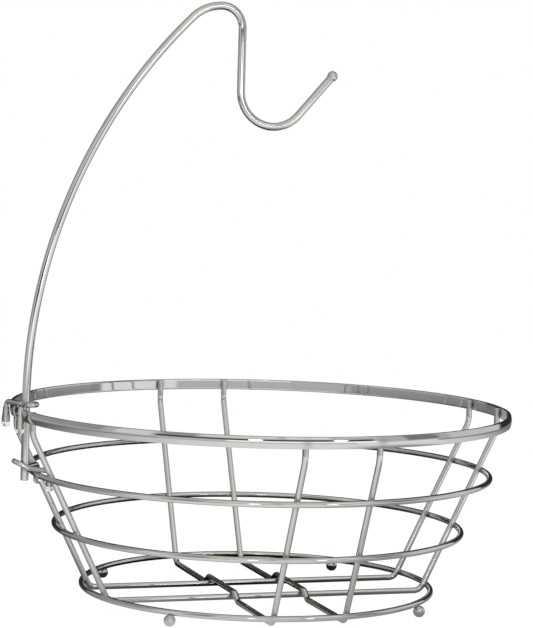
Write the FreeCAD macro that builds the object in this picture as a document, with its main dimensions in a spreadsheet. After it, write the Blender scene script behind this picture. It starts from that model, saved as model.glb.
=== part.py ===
import FreeCAD, Part
import math
import os
import Sketcher

# Chromed steel wire fruit bowl with a bent rod hanger that hooks over its rim.
# Millimetres, +Z up. The origin is on the bowl's axis, on the table. The hanger
# stands at -X, its rod bent in the XZ plane, and its fruit hook hangs over the axis.

SIZES = {
    # Bowl: a flat band for a rim, and three round wire rings below it on one cone
    "rim_diameter": 305.0,          # outside of the band
    "rim_top_height": 118.4,        # table to the top edge of the band
    "band_height": 6.8,
    "band_thickness": 2.4,          # at mid height, where the outer face bulges most
    "band_edge_thickness": 1.3,     # at the top and bottom edges
    "wire_diameter": 3.6,           # rings and long wires
    "base_ring_inset": 45.8,        # base ring's centre line inside the rim's outside
    "middle_ring_height": 44.6,     # centre line above the table
    "upper_ring_height": 79.0,
    "wall_angle": 25.3,             # wall off the vertical, degrees
    "weld_set_down": 0.3,           # how far crossed wires sink into each other at a weld
    # Long wires: rim to rim in one piece, down the wall and across the floor
    "pair_spacing": 44.0,
    "cross_floor_drop": 2.7,        # floor of a cross wire below the base ring's centre line
    "stepped_floor_drop": 3.9,      # and of a stepped wire, outside its step
    "rim_bend_radius": 15.0,
    "floor_bend_radius": 6.0,
    "step_bend_radius": 5.0,
    "step_run": 7.0,                # level length of the slope that lifts a stepped wire
    "step_clearance": 3.0,          # from the crossed wire's side to the top of the slope
    "rib_end_drop": 0.4,            # wire ends below the rim's top edge
    # Ball feet under the base ring
    "foot_ball_diameter": 7.0,
    "foot_outset": 2.2,             # ball's centre outside the ring's centre line
    "foot_set_down": 0.4,
    # Hanger: one bent rod
    "rod_diameter": 4.8,
    "rod_inset": 6.2,               # upright part of the rod inside the rim's outside
    "rod_foot_drop": 4.2,           # rod's lower end below the upper ring's centre line
    "arch_start_height": 121.8,     # where the upright part begins to bend
    "crown_height": 359.2,          # highest point of the rod's centre line
    "crown_outer_radius": 26.0,
    "crown_inner_radius": 13.0,
    "stem_offset": 18.5,            # hook's upright stem to the bowl's axis
    "hook_radius": 21.0,
    "hook_drop": 71.4,              # crown down to the hook's lowest point, centre lines
    "arm_angle": 41.2,              # hook's arm off the vertical, degrees
    "arm_length": 32.5,             # end of the hook's curve to the centre of its ball
    "hook_ball_diameter": 6.4,
    "hook_ball_socket": 1.6,        # depth to which the rod's end enters the ball
    # Clips: a U of thinner wire at each height, its two legs bent down
    "clip_wire_diameter": 3.0,
    "clip_bend_radius": 3.0,
    "clip_closed_reach": 6.4,       # rod's axis to the closed end of the U
    "clip_flare_start": 1.5,        # rod's axis to where the arms begin to spread
    "clip_weld_depth": 0.2,
    "clip_seat_gap": 0.05,
    "upper_leg_spread": 19.0,       # each leg from the rod's plane
    "upper_leg_length": 12.4,       # arm's centre line to the leg's bare end
    "upper_tip_length": 12.0,
    "lower_leg_spread": 16.0,
    "lower_leg_length": 9.2,
    "lower_tip_length": 8.8,
    "lower_closed_rise": 4.0,       # closed end of the lower U above its arms
    # Soft clear tips dipped onto the legs
    "tip_diameter": 5.4,
    "tip_top_wall": 0.4,
    "tip_end_thickness": 3.0,
}

WORKED_OUT = {
    "wire_radius": "sizes.wire_diameter / 2",
    "rod_radius": "sizes.rod_diameter / 2",
    "clip_radius": "sizes.clip_wire_diameter / 2",
    "tip_radius": "sizes.tip_diameter / 2",
    "pair_offset": "sizes.pair_spacing / 2",
    "rim_outer_radius": "sizes.rim_diameter / 2",
    "rim_inner_radius": "rim_outer_radius - sizes.band_thickness",
    "rim_bottom_height": "sizes.rim_top_height - sizes.band_height",
    "band_bulge": "sizes.band_thickness - sizes.band_edge_thickness",
    "band_face_radius": "(sizes.band_height ^ 2 / 4 + band_bulge ^ 2) / (2 * band_bulge)",
    "foot_ball_radius": "sizes.foot_ball_diameter / 2",
    "foot_weld_reach": "foot_ball_radius + wire_radius - sizes.foot_set_down",
    "base_ring_height": "foot_ball_radius + sqrt(foot_weld_reach ^ 2 - sizes.foot_outset ^ 2)",
    "base_ring_radius": "rim_outer_radius - sizes.base_ring_inset",
    "foot_circle_radius": "base_ring_radius + sizes.foot_outset",
    "middle_ring_radius":
        "base_ring_radius + (sizes.middle_ring_height - base_ring_height) * tan(sizes.wall_angle)",
    "upper_ring_radius":
        "base_ring_radius + (sizes.upper_ring_height - base_ring_height) * tan(sizes.wall_angle)",
    # A long wire lies inside the rings: this far from their centre lines, taken level
    "wire_inset": "(sizes.wire_diameter - sizes.weld_set_down) / cos(sizes.wall_angle)",
    "wire_at_base": "sqrt((base_ring_radius - wire_inset) ^ 2 - pair_offset ^ 2)",
    "wire_at_upper": "sqrt((upper_ring_radius - wire_inset) ^ 2 - pair_offset ^ 2)",
    "wire_at_rim":
        "sqrt((rim_inner_radius - wire_radius + sizes.weld_set_down) ^ 2 - pair_offset ^ 2)",
    "wire_lean": "(wire_at_upper - wire_at_base) / (sizes.upper_ring_height - base_ring_height)",
    "rim_bend_height": "base_ring_height + (wire_at_rim - wire_at_base) / wire_lean",
    "wire_end_height": "sizes.rim_top_height - sizes.rib_end_drop",
    "cross_floor_height": "base_ring_height - sizes.cross_floor_drop",
    "cross_floor_reach": "wire_at_base - wire_lean * sizes.cross_floor_drop",
    "stepped_floor_height": "base_ring_height - sizes.stepped_floor_drop",
    "stepped_floor_reach": "wire_at_base - wire_lean * sizes.stepped_floor_drop",
    "step_height": "cross_floor_height + sizes.wire_diameter - sizes.weld_set_down",
    "step_top_reach": "pair_offset + wire_radius + sizes.step_clearance",
    "step_foot_reach": "step_top_reach + sizes.step_run",
    "rod_standoff": "rim_outer_radius - sizes.rod_inset",
    "rod_foot_height": "sizes.upper_ring_height - sizes.rod_foot_drop",
    "crown_center": "sizes.stem_offset + sizes.crown_inner_radius",
    "arch_span": "rod_standoff - crown_center",
    "arch_rise": "sizes.crown_height - sizes.crown_outer_radius - sizes.arch_start_height",
    # The arch is upright where it starts, and touches the crown's outer bend from outside it
    "arch_radius":
        "(arch_span ^ 2 + arch_rise ^ 2 - sizes.crown_outer_radius ^ 2)"
        " / (2 * (arch_span - sizes.crown_outer_radius))",
    "arch_center": "arch_radius - rod_standoff",
    "hook_center": "sizes.stem_offset - sizes.hook_radius",
    "hook_center_height": "sizes.crown_height - sizes.hook_drop + sizes.hook_radius",
    "hook_ball_radius": "sizes.hook_ball_diameter / 2",
    "arm_run": "sizes.arm_length - hook_ball_radius + sizes.hook_ball_socket",
    "clip_side_gap": "rod_radius + clip_radius - sizes.clip_weld_depth",
    "upper_arm_height": "sizes.rim_top_height + clip_radius + sizes.clip_seat_gap",
    "lower_arm_height":
        "sizes.upper_ring_height + wire_radius + clip_radius + sizes.clip_seat_gap",
    "upper_leg_reach":
        "sqrt((rim_outer_radius + tip_radius + sizes.clip_seat_gap) ^ 2"
        " - sizes.upper_leg_spread ^ 2)",
    "lower_leg_reach":
        "sqrt((upper_ring_radius - wire_radius - tip_radius - sizes.clip_seat_gap) ^ 2"
        " - sizes.lower_leg_spread ^ 2)",
}

ORIGIN = (-1, 1)
X_AXIS_ID = -1
Z_AXIS_ID = -2

doc = FreeCAD.newDocument("fruit_bowl")


def fill_sheet(name, cells):
    """Writes one cell a row, each with its alias, and gives back the sheet."""
    sheet = doc.addObject("Spreadsheet::Sheet", name)
    for row, (alias, content) in enumerate(cells.items(), start=1):
        sheet.set(f"A{row}", alias)
        sheet.set(f"B{row}", f"={content}" if isinstance(content, str) else str(content))
        sheet.setAlias(f"B{row}", alias)
    doc.recompute()
    return sheet


sheets = {"sizes": fill_sheet("sizes", SIZES)}
sheets["worked"] = fill_sheet("worked", WORKED_OUT)


def ref(alias):
    """The text that binds a property to a cell."""
    return f"sizes.{alias}" if alias in SIZES else f"worked.{alias}"


def size(alias):
    """The number that a cell holds."""
    sheet = sheets["sizes" if alias in SIZES else "worked"]
    return float(sheet.get(alias))


def bind(item, **cells):
    """Binds properties of an object to expressions; __ stands for a dot in their names."""
    for name, expression in cells.items():
        item.setExpression(name.replace("__", "."), expression)
    return item


def label(item, name):
    """Gives a finished sub-part its name."""
    item.Label = name
    return item


# Sketch helpers

def sketch_on(body, plane, name):
    """A sketch on one of the body's own origin planes."""
    sketch = body.newObject("Sketcher::SketchObject", name)
    support = [f for f in body.Origin.OriginFeatures if f.Role == plane]
    sketch.AttachmentSupport = [(support[0], "")]
    sketch.MapMode = "FlatFace"
    return sketch


def fix(sketch, kind, *items, cell=None):
    """Adds a constraint, and binds its size to a cell where it has one."""
    if cell is None:
        return sketch.addConstraint(Sketcher.Constraint(kind, *items))
    index = sketch.addConstraint(Sketcher.Constraint(kind, *items, abs(size(cell))))
    sketch.setExpression(f"Constraints[{index}]", ref(cell))
    return index


def fix_point(sketch, point, across, up, left=False):
    """Places a point by its level distance from the origin, right or left, and its height."""
    ends = (*point, *ORIGIN) if left else (*ORIGIN, *point)
    fix(sketch, "DistanceX", *ends, cell=across)
    fix(sketch, "DistanceY", *ORIGIN, *point, cell=up)


def arc_between(center, radius, start, end):
    """An anticlockwise arc from one angle in degrees to another."""
    circle = Part.Circle(FreeCAD.Vector(center[0], center[1], 0), FreeCAD.Vector(0, 0, 1), radius)
    return Part.ArcOfCircle(circle, math.radians(start), math.radians(end))


def bent_line(sketch, corners, radii):
    """Draws a run of lines through corner points, with a tangent arc inside each corner.

    Gives back the corner points, the first line's start and the last line's end. Each line is held
    to the two corners that it joins, and each arc by its radius and its two tangencies.
    """
    spots = [FreeCAD.Vector(x, y, 0) for x, y in corners]
    starts, ends, arcs = [spots[0]], [], []
    for before, spot, after, radius in zip(spots, spots[1:], spots[2:], radii):
        back = (before - spot).normalize()
        onward = (after - spot).normalize()
        half_angle = back.getAngle(onward) / 2
        trim = size(radius) / math.tan(half_angle)
        ends.append(spot + back * trim)
        starts.append(spot + onward * trim)
        center = spot + (back + onward).normalize() * (size(radius) / math.sin(half_angle))
        from_center = [starts[-1] - center, ends[-1] - center]
        turns_left = back.cross(onward).z < 0
        if turns_left:
            from_center.reverse()
        angles = [math.degrees(math.atan2(v.y, v.x)) for v in from_center]
        if angles[1] < angles[0]:
            angles[1] += 360
        arcs.append((arc_between((center.x, center.y), size(radius), *angles), turns_left))
    ends.append(spots[-1])

    lines = [sketch.addGeometry(Part.LineSegment(*pair), False) for pair in zip(starts, ends)]
    points = []
    for spot in spots[1:-1]:
        points.append((sketch.addGeometry(Part.Point(spot), True), 1))
    for number, (arc, turns_left) in enumerate(arcs):
        curve = sketch.addGeometry(arc, False)
        enters, leaves = (1, 2) if turns_left else (2, 1)
        fix(sketch, "PointOnObject", *points[number], lines[number])
        fix(sketch, "PointOnObject", *points[number], lines[number + 1])
        fix(sketch, "Tangent", lines[number], 2, curve, enters)
        fix(sketch, "Tangent", lines[number + 1], 1, curve, leaves)
        fix(sketch, "Radius", curve, cell=radii[number])
    return points, (lines[0], 1), (lines[-1], 2)


def round_section(body, name, across, up, radius):
    """A circle in a level plane, left of the origin, where an upright run of wire begins."""
    sketch = sketch_on(body, "XY_Plane", name)
    bind(sketch, AttachmentOffset__Base__z=ref(up))
    spot = FreeCAD.Vector(-size(across), 0, 0)
    circle = sketch.addGeometry(Part.Circle(spot, FreeCAD.Vector(0, 0, 1), size(radius)), False)
    fix(sketch, "DistanceX", circle, 3, *ORIGIN, cell=across)
    fix(sketch, "PointOnObject", circle, 3, X_AXIS_ID)
    fix(sketch, "Radius", circle, cell=radius)
    return sketch


def pipe(body, section, path):
    """Sweeps a section along a sketched path."""
    sweep = body.newObject("PartDesign::AdditivePipe", "sweep")
    sweep.Profile = section
    sweep.Spine = path
    sweep.Mode = "Standard"
    return sweep


# Bowl rim: half-oval band, flat inside, bulged outside, rolled into a hoop

def make_rim_band():
    body = doc.addObject("PartDesign::Body", "rim_band")
    sketch = sketch_on(body, "XZ_Plane", "rim_section")
    inner = size("rim_inner_radius")
    edge = inner + size("band_edge_thickness")
    bottom, top = size("rim_bottom_height"), size("rim_top_height")
    corners = [(edge, bottom), (inner, bottom), (inner, top), (edge, top)]
    corners = [FreeCAD.Vector(x, z, 0) for x, z in corners]
    lines = [Part.LineSegment(*pair) for pair in zip(corners, corners[1:])]
    floor, back, roof = [sketch.addGeometry(line, False) for line in lines]
    bulge = FreeCAD.Vector(size("rim_outer_radius"), (bottom + top) / 2, 0)
    face = sketch.addGeometry(Part.Arc(corners[0], bulge, corners[3]), False)
    fix(sketch, "Coincident", floor, 2, back, 1)
    fix(sketch, "Coincident", back, 2, roof, 1)
    fix(sketch, "Coincident", roof, 2, face, 2)
    fix(sketch, "Coincident", floor, 1, face, 1)
    fix(sketch, "Horizontal", floor)
    fix(sketch, "Horizontal", roof)
    fix(sketch, "Vertical", back)
    fix(sketch, "DistanceX", *ORIGIN, back, 1, cell="rim_inner_radius")
    fix(sketch, "DistanceX", roof, 1, roof, 2, cell="band_edge_thickness")
    fix(sketch, "DistanceY", *ORIGIN, back, 1, cell="rim_bottom_height")
    fix(sketch, "DistanceY", back, 1, back, 2, cell="band_height")
    fix(sketch, "Radius", face, cell="band_face_radius")
    fix(sketch, "Equal", floor, roof)
    turn = body.newObject("PartDesign::Revolution", "rim_turn")
    turn.Profile = sketch
    turn.ReferenceAxis = (sketch, ["V_Axis"])
    turn.Angle = 360.0
    return label(body, "rim_band")


# Wire rings below the rim, butt welded, each a true circle

def make_ring(name, radius, height):
    ring = doc.addObject("Part::Torus", name)
    bind(ring, Radius1=ref(radius), Radius2=ref("wire_radius"), Placement__Base__z=ref(height))
    return label(ring, name)


# Long wires: down the wall, across the floor and up again, with ends welded inside the rim

def make_long_wire(name, stepped, side):
    """One U-shaped wire. A stepped one lifts over the pair that it crosses in the floor."""
    body = doc.addObject("PartDesign::Body", name)
    path = sketch_on(body, "XZ_Plane", "path")
    half = [("wire_at_rim", "rim_bend_height", "rim_bend_radius")]
    if stepped:
        half += [("stepped_floor_reach", "stepped_floor_height", "floor_bend_radius"),
                 ("step_foot_reach", "stepped_floor_height", "step_bend_radius"),
                 ("step_top_reach", "step_height", "step_bend_radius")]
    else:
        half += [("cross_floor_reach", "cross_floor_height", "floor_bend_radius")]
    left = [(-size(across), size(up)) for across, up, radius in half]
    right = [(-x, z) for x, z in reversed(left)]
    end = (left[0][0], size("wire_end_height"))
    radii = [radius for across, up, radius in half]
    points, start, finish = bent_line(
        path, [end, *left, *right, (-end[0], end[1])], radii + radii[::-1])
    for number, (across, up, radius) in enumerate(half):
        fix_point(path, points[number], across, up, left=True)
        fix(path, "Symmetric", *points[number], *points[-1 - number], Z_AXIS_ID)
    fix_point(path, start, "wire_at_rim", "wire_end_height", left=True)
    fix(path, "Symmetric", *start, *finish, Z_AXIS_ID)
    section = round_section(body, "section", "wire_at_rim", "wire_end_height", "wire_radius")
    pipe(body, section, path)
    sign = "-" if side < 0 else ""
    if stepped:
        body.Placement.Rotation = FreeCAD.Rotation(FreeCAD.Vector(0, 0, 1), 90)
        bind(body, Placement__Base__x=sign + ref("pair_offset"))
    else:
        bind(body, Placement__Base__y=sign + ref("pair_offset"))
    return body


def press_into(name, wire, carriers):
    """Notches a wire where it has sunk into the pieces that it is welded to."""
    tool = doc.addObject("Part::Compound", f"{name}_seats")
    tool.Links = carriers
    cut = doc.addObject("Part::Cut", name)
    cut.Base = wire
    cut.Tool = tool
    return label(cut, name)


# Ball feet: steel balls welded under the base ring, midway between the pairs of wires

def make_foot(name, angle, ring):
    ball = doc.addObject("Part::Sphere", f"{name}_ball")
    reach = ref("foot_circle_radius")
    bind(ball, Radius=ref("foot_ball_radius"), Placement__Base__z=ref("foot_ball_radius"),
         Placement__Base__x=f"{reach} * cos({angle})", Placement__Base__y=f"{reach} * sin({angle})")
    # The ball's poles lie level along the ring and its seam points down, clear of the weld
    down = FreeCAD.Vector(0, 0, -1)
    outward = FreeCAD.Vector(math.cos(math.radians(angle)), math.sin(math.radians(angle)), 0)
    ball.Placement.Rotation = FreeCAD.Rotation(down, outward, down.cross(outward), "ZXY")
    return press_into(name, ball, [ring])


# Hanger rod: upright foot, long arch, crown, stem, hook and rising arm, bent from one rod

def make_hanger_rod():
    body = doc.addObject("PartDesign::Body", "hanger_rod")
    path = sketch_on(body, "XZ_Plane", "path")
    standoff, stem = -size("rod_standoff"), -size("stem_offset")
    crown_height = size("crown_height")
    rise_radius, fall_radius = size("crown_outer_radius"), size("crown_inner_radius")
    rise = (-size("crown_center"), crown_height - rise_radius)
    fall = (rise[0], crown_height - fall_radius)
    arch = (size("arch_center"), size("arch_start_height"))
    meet = math.degrees(math.atan2(rise[1] - arch[1], rise[0] - arch[0]))
    hook = (-size("hook_center"), size("hook_center_height"))
    lean = size("arm_angle")
    arm_start = FreeCAD.Vector(hook[0] + size("hook_radius") * math.cos(math.radians(lean)),
                               hook[1] - size("hook_radius") * math.sin(math.radians(lean)), 0)
    arm_way = FreeCAD.Vector(math.sin(math.radians(lean)), math.cos(math.radians(lean)), 0)

    def line(start, end):
        ends = (FreeCAD.Vector(*start, 0), FreeCAD.Vector(*end, 0))
        return path.addGeometry(Part.LineSegment(*ends), False)

    foot = line((standoff, size("rod_foot_height")), (standoff, arch[1]))
    long_arc = path.addGeometry(arc_between(arch, size("arch_radius"), meet, 180), False)
    rise_arc = path.addGeometry(arc_between(rise, rise_radius, 90, meet), False)
    fall_arc = path.addGeometry(arc_between(fall, fall_radius, 0, 90), False)
    drop_line = line((stem, fall[1]), (stem, hook[1]))
    hook_arc = path.addGeometry(arc_between(hook, size("hook_radius"), 180, 360 - lean), False)
    arm_end = arm_start + arm_way * size("arm_run")
    arm = path.addGeometry(Part.LineSegment(arm_start, arm_end), False)

    fix(path, "Tangent", foot, 2, long_arc, 2)
    fix(path, "Tangent", long_arc, 1, rise_arc, 2)
    fix(path, "Tangent", rise_arc, 1, fall_arc, 2)
    fix(path, "Tangent", fall_arc, 1, drop_line, 1)
    fix(path, "Tangent", drop_line, 2, hook_arc, 1)
    fix(path, "Tangent", hook_arc, 2, arm, 1)
    fix(path, "Vertical", foot)
    fix(path, "Vertical", drop_line)
    fix_point(path, (foot, 1), "rod_standoff", "rod_foot_height", left=True)
    fix_point(path, (rise_arc, 1), "crown_center", "crown_height", left=True)
    fix(path, "Radius", long_arc, cell="arch_radius")
    fix(path, "Radius", rise_arc, cell="crown_outer_radius")
    fix(path, "Radius", fall_arc, cell="crown_inner_radius")
    fix(path, "Vertical", rise_arc, 3, fall_arc, 3)
    fix(path, "Radius", hook_arc, cell="hook_radius")
    fix(path, "DistanceY", *ORIGIN, hook_arc, 3, cell="hook_center_height")
    fix(path, "Distance", arm, cell="arm_run")
    turn = path.addConstraint(Sketcher.Constraint("Angle", arm, math.radians(90 - lean)))
    path.setExpression(f"Constraints[{turn}]", f"90 - {ref('arm_angle')}")
    section = round_section(body, "section", "rod_standoff", "rod_foot_height", "rod_radius")
    pipe(body, section, path)
    return label(body, "hanger_rod")


def make_hook_ball(rod):
    """A steel ball with a shallow socket, fixed over the end of the hook's arm."""
    ball = doc.addObject("Part::Sphere", "hook_ball_blank")
    arm, turn, lean = ref("arm_length"), ref("hook_radius"), ref("arm_angle")
    across = f"{turn} * cos({lean}) + {arm} * sin({lean})"
    up = f"{arm} * cos({lean}) - {turn} * sin({lean})"
    bind(ball, Radius=ref("hook_ball_radius"),
         Placement__Base__x=f"{across} - {ref('hook_center')}",
         Placement__Base__z=f"{up} + {ref('hook_center_height')}")
    return press_into("hook_ball", ball, [rod])


# Clips: a U of wire round the rod, spread over the rim or ring, with two legs bent down

def rounded_wire(corners, radii):
    """A wire of straight runs through corner points, with a tangent arc inside each corner."""
    edges, here = [], corners[0]
    for before, spot, after, radius in zip(corners, corners[1:], corners[2:], radii):
        back = (before - spot).normalize()
        onward = (after - spot).normalize()
        half_angle = back.getAngle(onward) / 2
        trim = radius / math.tan(half_angle)
        middle = (back + onward).normalize()
        center = spot + middle * (radius / math.sin(half_angle))
        start, end = spot + back * trim, spot + onward * trim
        if here.distanceToPoint(start) > Part.Precision.confusion():
            edges.append(Part.makeLine(here, start))
        edges.append(Part.Arc(start, center - middle * radius, end).toShape())
        here = end
    edges.append(Part.makeLine(here, corners[-1]))
    return Part.Wire(edges)


def make_clip(name, outward, reach, spread, arm_height, leg_length, closed_rise, rod):
    """One clip. Its legs point away from the bowl's axis when outward is 1, and to it when -1."""
    def spot(along, across, up):
        return FreeCAD.Vector(-size("rod_standoff") - outward * along, across, up)

    arm = size(arm_height)
    leg_along = outward * (size(reach) - size("rod_standoff"))
    gap = size("clip_side_gap")
    half = [spot(leg_along, size(spread), arm - size(leg_length)),
            spot(leg_along, size(spread), arm),
            spot(size("clip_flare_start"), gap, arm),
            spot(-size("clip_closed_reach"), gap, arm + closed_rise)]
    other = [FreeCAD.Vector(p.x, -p.y, p.z) for p in reversed(half)]
    bends = [size("clip_bend_radius")] * 2 + [gap]
    path = doc.addObject("Part::Feature", f"{name}_path")
    path.Shape = rounded_wire(half + other, bends + bends[::-1])
    section = doc.addObject("Part::Circle", f"{name}_section")
    section.Placement = FreeCAD.Placement(half[0], FreeCAD.Rotation())
    bind(section, Radius=ref("clip_radius"))
    sweep = doc.addObject("Part::Sweep", f"{name}_wire")
    sweep.Sections = [section]
    sweep.Spine = (path, [f"Edge{n + 1}" for n in range(len(path.Shape.Edges))])
    sweep.Solid = True
    return press_into(name, sweep, [rod])


# Leg tips: soft clear vinyl, dipped on, thin at the top and full at the rounded end

def make_tip(name, outward, reach, spread, arm_height, leg_length, tip_length, side):
    body = doc.addObject("PartDesign::Body", name)
    sketch = sketch_on(body, "XZ_Plane", "tip_section")
    radius, wire = size("tip_radius"), size("clip_radius")
    end, top = size("tip_end_thickness"), size(tip_length)
    brim = wire + size("tip_top_wall")
    corners = [(radius, radius), (brim, top), (wire, top), (wire, end), (0, end), (0, 0)]
    corners = [FreeCAD.Vector(x, z, 0) for x, z in corners]
    lines = [Part.LineSegment(*pair) for pair in zip(corners, corners[1:])]
    lines = [sketch.addGeometry(line, False) for line in lines]
    side_line, lip, bore, bore_end, axis = lines
    dome = sketch.addGeometry(arc_between((0, radius), radius, 270, 360), False)
    for before, after in zip(lines, lines[1:]):
        fix(sketch, "Coincident", before, 2, after, 1)
    fix(sketch, "Coincident", axis, 2, dome, 1)
    fix(sketch, "Coincident", dome, 2, side_line, 1)
    fix(sketch, "Coincident", axis, 2, *ORIGIN)
    fix(sketch, "Vertical", axis)
    fix(sketch, "Vertical", bore)
    fix(sketch, "Horizontal", lip)
    fix(sketch, "Horizontal", bore_end)
    fix(sketch, "PointOnObject", dome, 3, Z_AXIS_ID)
    fix(sketch, "Radius", dome, cell="tip_radius")
    fix(sketch, "Horizontal", dome, 3, dome, 2)
    fix(sketch, "DistanceX", bore_end, 2, bore_end, 1, cell="clip_radius")
    fix(sketch, "DistanceX", lip, 2, lip, 1, cell="tip_top_wall")
    fix(sketch, "DistanceY", *ORIGIN, lip, 1, cell=tip_length)
    fix(sketch, "DistanceY", *ORIGIN, bore_end, 1, cell="tip_end_thickness")
    turn = body.newObject("PartDesign::Revolution", "tip_turn")
    turn.Profile = sketch
    turn.ReferenceAxis = (sketch, ["V_Axis"])
    turn.Angle = 360.0
    sign = "-" if side < 0 else ""
    bind(body, Placement__Base__x=f"-{ref(reach)}", Placement__Base__y=sign + ref(spread),
         Placement__Base__z=f"{ref(arm_height)} - {ref(leg_length)} - {ref('tip_end_thickness')}")
    return label(body, name)


def finish():
    """Stops on any failed object or bad shape, then writes each sub-part to its own file."""
    doc.recompute()
    for item in doc.Objects:
        if {"Invalid", "Error"} & set(item.State):
            raise RuntimeError(f"{item.Label} failed: {item.State}")
    os.makedirs("parts", exist_ok=True)
    for item in sub_parts:
        shape = item.Shape
        if shape.isNull() or not shape.isValid() or not shape.Solids:
            raise RuntimeError(f"{item.Label} has no valid solid")
        shape.exportStep(os.path.join("parts", f"{item.Label}.step"))
        print(f"{item.Label}: {len(shape.Solids)} solid, {shape.Volume:.1f} cubic mm")


rim = make_rim_band()
base_ring = make_ring("base_ring", "base_ring_radius", "base_ring_height")
middle_ring = make_ring("middle_ring", "middle_ring_radius", "middle_ring_height")
upper_ring = make_ring("upper_ring", "upper_ring_radius", "upper_ring_height")
hoops = [rim, upper_ring, middle_ring, base_ring]
doc.recompute()

cross_wires = []
for place, side in (("front", -1), ("back", 1)):
    blank = make_long_wire(f"cross_wire_{place}_blank", False, side)
    cross_wires.append(press_into(f"cross_wire_{place}", blank, hoops))
doc.recompute()

stepped_wires = []
for place, side in (("left", -1), ("right", 1)):
    blank = make_long_wire(f"stepped_wire_{place}_blank", True, side)
    stepped_wires.append(press_into(f"stepped_wire_{place}", blank, hoops + cross_wires))

FEET = {"front_left": 225, "front_right": 315, "back_left": 135, "back_right": 45}
feet = [make_foot(f"foot_{place}", angle, base_ring) for place, angle in FEET.items()]

hanger_rod = make_hanger_rod()
doc.recompute()
hook_ball = make_hook_ball(hanger_rod)

CLIPS = {
    "upper": (1, "upper_leg_reach", "upper_leg_spread", "upper_arm_height", "upper_leg_length"),
    "lower": (-1, "lower_leg_reach", "lower_leg_spread", "lower_arm_height", "lower_leg_length"),
}
clips, tips = [], []
for place, fit in CLIPS.items():
    rise = size("lower_closed_rise") if place == "lower" else 0.0
    clips.append(make_clip(f"{place}_clip", *fit, rise, hanger_rod))
    for end, side in (("front", -1), ("back", 1)):
        tips.append(make_tip(f"{place}_tip_{end}", *fit, f"{place}_tip_length", side))

sub_parts = hoops + cross_wires + stepped_wires + feet + [hanger_rod, hook_ball] + clips + tips
finish()
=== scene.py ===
import math

import bpy
import numpy as np
from mathutils import Matrix


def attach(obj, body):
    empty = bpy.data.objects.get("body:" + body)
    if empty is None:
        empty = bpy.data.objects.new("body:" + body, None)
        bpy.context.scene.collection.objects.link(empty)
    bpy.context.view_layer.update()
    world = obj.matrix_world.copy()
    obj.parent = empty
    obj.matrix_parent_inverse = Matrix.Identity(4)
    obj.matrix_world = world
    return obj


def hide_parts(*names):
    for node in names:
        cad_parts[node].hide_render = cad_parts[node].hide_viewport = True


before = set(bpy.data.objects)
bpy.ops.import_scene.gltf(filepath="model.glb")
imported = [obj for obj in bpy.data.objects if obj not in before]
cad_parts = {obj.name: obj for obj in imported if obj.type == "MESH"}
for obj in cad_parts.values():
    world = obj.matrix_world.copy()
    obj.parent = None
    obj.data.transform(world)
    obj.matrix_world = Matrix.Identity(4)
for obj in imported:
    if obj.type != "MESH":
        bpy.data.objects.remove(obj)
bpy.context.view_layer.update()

# Rim band: half-oval steel strip, flat inside and bulged a little outwards, rolled into a
# hoop and butt welded. It is polished, then nickel and chrome plated with the whole bowl.

# Sizes are in millimetres, which MM turns to metres, and angles in degrees
MM = 0.001
BRIGHT_CHROME = "#DEDFDF"
RIM_RADIUS = 152.5
RIM_TOP = 118.4
BAND_HEIGHT = 6.8
BAND_THICKNESS = 2.4
BAND_EDGE = 1.8
BAND_CORNER = 0.35
RIM_INNER = RIM_RADIUS - BAND_THICKNESS
RIM_MIDDLE = RIM_TOP - BAND_HEIGHT / 2
RIM_WELD_REACH = 2.6
HOOP_POINTS = 900


def arc(center, radius, start, end, count):
    """Points on a circle arc in a plane: centre plus radius times (cos, sin) of even angles."""
    angle = np.radians(np.linspace(start, end, count))
    return np.stack([center[0] + radius * np.cos(angle), center[1] + radius * np.sin(angle)], 1)


def band_section():
    """The band's section as (outward, up) in mm from the middle of its flat inner face.

    Two level edges and a flat back, joined by small round corners, and an outer face that is
    one arc through the bulge, which the outer corners touch.
    """
    half, bulge = BAND_HEIGHT / 2, BAND_THICKNESS - BAND_EDGE
    face_radius = (half ** 2 + bulge ** 2) / (2 * bulge)
    face_center = BAND_THICKNESS - face_radius
    rise = half - BAND_CORNER
    reach = math.sqrt((face_radius - BAND_CORNER) ** 2 - rise ** 2)
    lean = math.degrees(math.atan2(rise, reach))
    back = np.stack([np.zeros(9), np.linspace(rise, -rise, 9)], 1)[1:-1]
    return np.concatenate([
        arc((BAND_CORNER, -rise), BAND_CORNER, 180, 270, 6),
        arc((face_center + reach, -rise), BAND_CORNER, 270, 360 - lean, 6),
        arc((face_center, 0), face_radius, -lean, lean, 25)[1:-1],
        arc((face_center + reach, rise), BAND_CORNER, lean, 90, 6),
        arc((BAND_CORNER, rise), BAND_CORNER, 90, 180, 6),
        back,
    ])


def hoop(radius, height, count):
    """A level circle about the bowl's axis: radius times (cos, sin) of even angles, at a height."""
    angle = np.linspace(0, 2 * math.pi, count, endpoint=False)
    return np.stack([radius * np.cos(angle), radius * np.sin(angle), 0 * angle + height], 1)


def carry(section, line, across, closed=False, swell=1.0):
    """Carries a section along a line and gives the grid of surface points.

    At each point of the line, the section's first direction is the line's heading crossed with
    the direction given by across, and its second is square to both. swell scales the section.
    """
    heading = np.roll(line, -1, 0) - np.roll(line, 1, 0) if closed else np.gradient(line, axis=0)
    heading /= np.linalg.norm(heading, axis=1, keepdims=True)
    side = np.cross(heading, across)
    side /= np.linalg.norm(side, axis=1, keepdims=True)
    up = np.cross(side, heading)
    swell = np.broadcast_to(swell, len(line))[:, None, None]
    out = section[None, :, :1] * side[:, None, :] + section[None, :, 1:] * up[:, None, :]
    return line[:, None, :] + out * swell


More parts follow.
